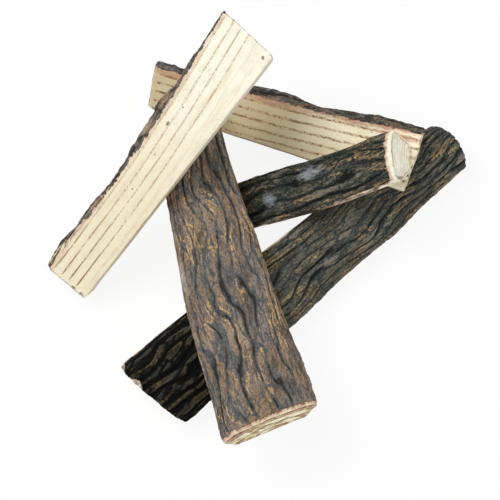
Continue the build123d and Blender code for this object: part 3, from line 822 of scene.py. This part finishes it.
front_log = Log(
    "front_log", 394 * MM, mm(57, 106.5), mm(38, 42), 22 * MM, 0.8, 3.0,
    right_foot_in=13 * MM, left_height=22 * MM, left_foot_in=13 * MM, belly=9 * MM, bow=-8 * MM,
    heel_slant=-0.12, head_slant=-0.14, head_rake=-0.10, bare_head=5.5 * MM,
    ring_pitch=11 * MM, ring_spread=1.5, seed=40,
    stains=((394, 27, 6, 7), (396, 14, 6, 5)),
    # The first spot here is a painted highlight along the right arris near the head, the second a pale worn
    # place.
    chips=((325, -57, 34, 4), (211, -51, 22, 5)))
top_log = Log(
    "top_log", 343.5 * MM, mm(50.5, 65.5), mm(38, 44), 28 * MM, 0.5, 4.2,
    right_foot_in=5 * MM, bark=8 * MM, belly=-6 * MM, bow=-3 * MM, bark_thins_over=50 * MM,
    heel_slant=0.04, head_slant=0.016, head_rake=0.34, ragged=0.3, seed=50,
    stains=((4, 27, 4, 4), (2, -8, 3, 4), (2, -20, 3, 3), (329, -37, 5, 2), (345, -25, 2.5, 3),
            (225, 13, 4, 3), (188, 5, 2.5, 2), (250, 10, 2, 1.5), (141, 3, 2, 2)),
    chips=((101, 25, 18, 4), (244, 31, 14, 5), (205, 29, 12, 5), (18, 24, 34, 5)),
    bared=((10, 29, 55, 8), (130, 29, 24, 4)))

# Paints
dark_bark = fired_ceramic(
    "dark_bark", bare_edge=-0.8 * MM,
    bark=dict(ridge=tone(82, 86, 79), mottle=tone(100, 94, 80), valley=tone(62, 70, 68),
              furrow=tone(26, 29, 27), brush_color=tone(184, 152, 106), brushed=0.85,
              charred_from=165 * MM, charred_to=70 * MM))
charred_bark = fired_ceramic(
    "charred_bark", bare_edge=-0.4 * MM,
    bark=dict(ridge=tone(60, 66, 58), mottle=tone(80, 77, 66), valley=tone(50, 56, 53),
              furrow=tone(18, 21, 20), brush_color=tone(186, 156, 110), brushed=0.85,
              charred_from=70 * MM, charred_to=10 * MM, worn=tone(176, 184, 190)),
    wood=dict(color=tone(255, 252, 234)),
    lines=dict(ring_color=tone(150, 144, 112), ring_strength=0.38, patchy_end=0.0))
brown_bark = fired_ceramic(
    "brown_bark", bare_edge=-1.0 * MM, rim=tone(168, 116, 90), inner_bark=tone(166, 114, 90),
    bark=dict(ridge=tone(144, 121, 98), mottle=tone(118, 108, 104), valley=tone(94, 96, 96),
              furrow=tone(44, 38, 32), brush_color=tone(208, 172, 120), brushed=0.95,
              # This pale colour paints worn places, and the front log's painted highlight along its right
              # arris.
              worn=tone(200, 182, 164)),
    wood=dict(color=tone(250, 248, 216)),
    lines=dict(ring_color=tone(134, 100, 60), ring_strength=0.95, patchy_end=0.8))
# The back log's split face is darker near its heel, where the top log lies over it: painted shadow.
back_wood = fired_ceramic(
    "back_wood", bare_edge=0.6 * MM, inner_bark=tone(176, 132, 106),
    bark=dict(ridge=tone(92, 90, 84), mottle=tone(76, 74, 70), valley=tone(62, 61, 58),
              furrow=tone(34, 33, 32), brush_color=tone(170, 136, 108), brushed=0.5),
    wood=dict(color=tone(252, 242, 216), shade=tone(196, 180, 148), shaded_from=150 * MM, shaded_to=255 * MM),
    lines=dict(strength=0.95, width=2.1, color=tone(132, 102, 68), heel_lines=0.15))
# The top log's split face is darker towards its heel: painted shade.
top_wood = fired_ceramic(
    "top_wood", bare_edge=-0.4 * MM, inner_bark=tone(206, 176, 150),
    bark=dict(ridge=tone(96, 92, 86), mottle=tone(78, 75, 70), valley=tone(64, 63, 60),
              furrow=tone(38, 37, 36), brush_color=tone(160, 140, 118), brushed=0.5),
    wood=dict(color=tone(239, 236, 217), shade=tone(232, 222, 196), shaded_from=130 * MM, shaded_to=300 * MM),
    lines=dict(strength=0.5, color=tone(164, 126, 80), start=4.1 * MM, reach=42 * MM))

log_piece(base_log, mm(-117.71, -158.54), 40.6, 0.0, 0.0, dark_bark)
log_piece(back_log, mm(-122.71, 193.16), -21.2, 10.484, -1.5 * MM, back_wood)
log_piece(short_log, mm(-29.37, 45.95), 10.3, 26.634, -1.5 * MM, charred_bark)
log_piece(front_log, mm(-87.86, 168.77), -75.386, 4.433, 40.84 * MM, brown_bark)
log_piece(top_log, mm(-204.88, -28.57), 46.5, 32.994, -1.5 * MM, top_wood)

steel = rod_steel()
for node_name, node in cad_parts.items():
    if node_name.endswith("_rods"):
        node.data.materials.clear()
        node.data.materials.append(steel)


def floor_sheet():
    """A wide flat floor at z = 0, as one square. The camera sees it nearly white, with the logs' shadow."""
    half = 6.0
    white_share = 0.88
    mesh = bpy.data.meshes.new("floor")
    corners = [(-half, -half, 0), (half, -half, 0), (half, half, 0), (-half, half, 0)]
    mesh.from_pydata(corners, [], [(0, 1, 2, 3)])
    floor = bpy.data.objects.new("floor", mesh)
    bpy.context.scene.collection.objects.link(floor)
    paint = Paint("floor")
    to_camera = paint.node("ShaderNodeLightPath", output="Is Camera Ray")
    pale = paint.node("ShaderNodeBsdfDiffuse", {}, {"Color": tone(240, 240, 240)})
    white = paint.node("ShaderNodeEmission", {}, {"Color": (1, 1, 1, 1), "Strength": 1.0})
    shader = paint.node("ShaderNodeMixShader", {}, {0: to_camera * white_share, 1: pale, 2: white})
    paint.node("ShaderNodeOutputMaterial", {}, {"Surface": shader})
    mesh.materials.append(paint.material)


def soft_light(name, place, size, power):
    """A square lamp at place, size metres wide, turned towards the foot of the stack."""
    aim = (0, 0, 0.05)
    lamp = bpy.data.lights.new(name, "AREA")
    lamp.energy = power
    lamp.size = size
    light = bpy.data.objects.new(name, lamp)
    bpy.context.scene.collection.objects.link(light)
    light.location = place
    toward = [a - b for a, b in zip(aim, place)]
    light.rotation_euler = Vector(toward).to_track_quat("-Z", "Y").to_euler()


def studio():
    """Even daylight from all round, two broad lamps, and white where the camera looks past all."""
    daylight = 0.55
    world = bpy.data.worlds.new("studio")
    world.use_nodes = True
    bpy.context.scene.world = world
    sky = Nodes(world.node_tree)
    to_camera = sky.node("ShaderNodeLightPath", output="Is Camera Ray")
    in_shine = sky.node("ShaderNodeLightPath", output="Is Glossy Ray")
    strength = sky.node("ShaderNodeMapRange", {}, {
        "Value": to_camera.larger(in_shine), "To Min": daylight, "To Max": 1.0})
    background = sky.node("ShaderNodeBackground", {}, {"Strength": strength})
    sky.node("ShaderNodeOutputWorld", {}, {"Surface": background})
    soft_light("lamp_above_left", (-0.9, 0.5, 1.6), 1.2, 26)
    soft_light("lamp_front", (1.0, -1.1, 1.3), 1.4, 12)


def camera():
    """The photograph's view: from the front, 75 degrees up, 1.5 m from the middle of the stack."""
    target = mm(-12.0, -10.95, 60)
    distance, up = 1.5, math.radians(75)
    lens = bpy.data.cameras.new("camera")
    lens.lens = 98.18
    view = bpy.data.objects.new("camera", lens)
    bpy.context.scene.collection.objects.link(view)
    view.location = (target[0], target[1] - distance * math.cos(up), target[2] + distance * math.sin(up))
    view.rotation_euler = (math.pi / 2 - up, 0, 0)
    bpy.context.scene.camera = view


floor_sheet()
studio()
camera()
bpy.context.scene.view_settings.view_transform = "Standard"
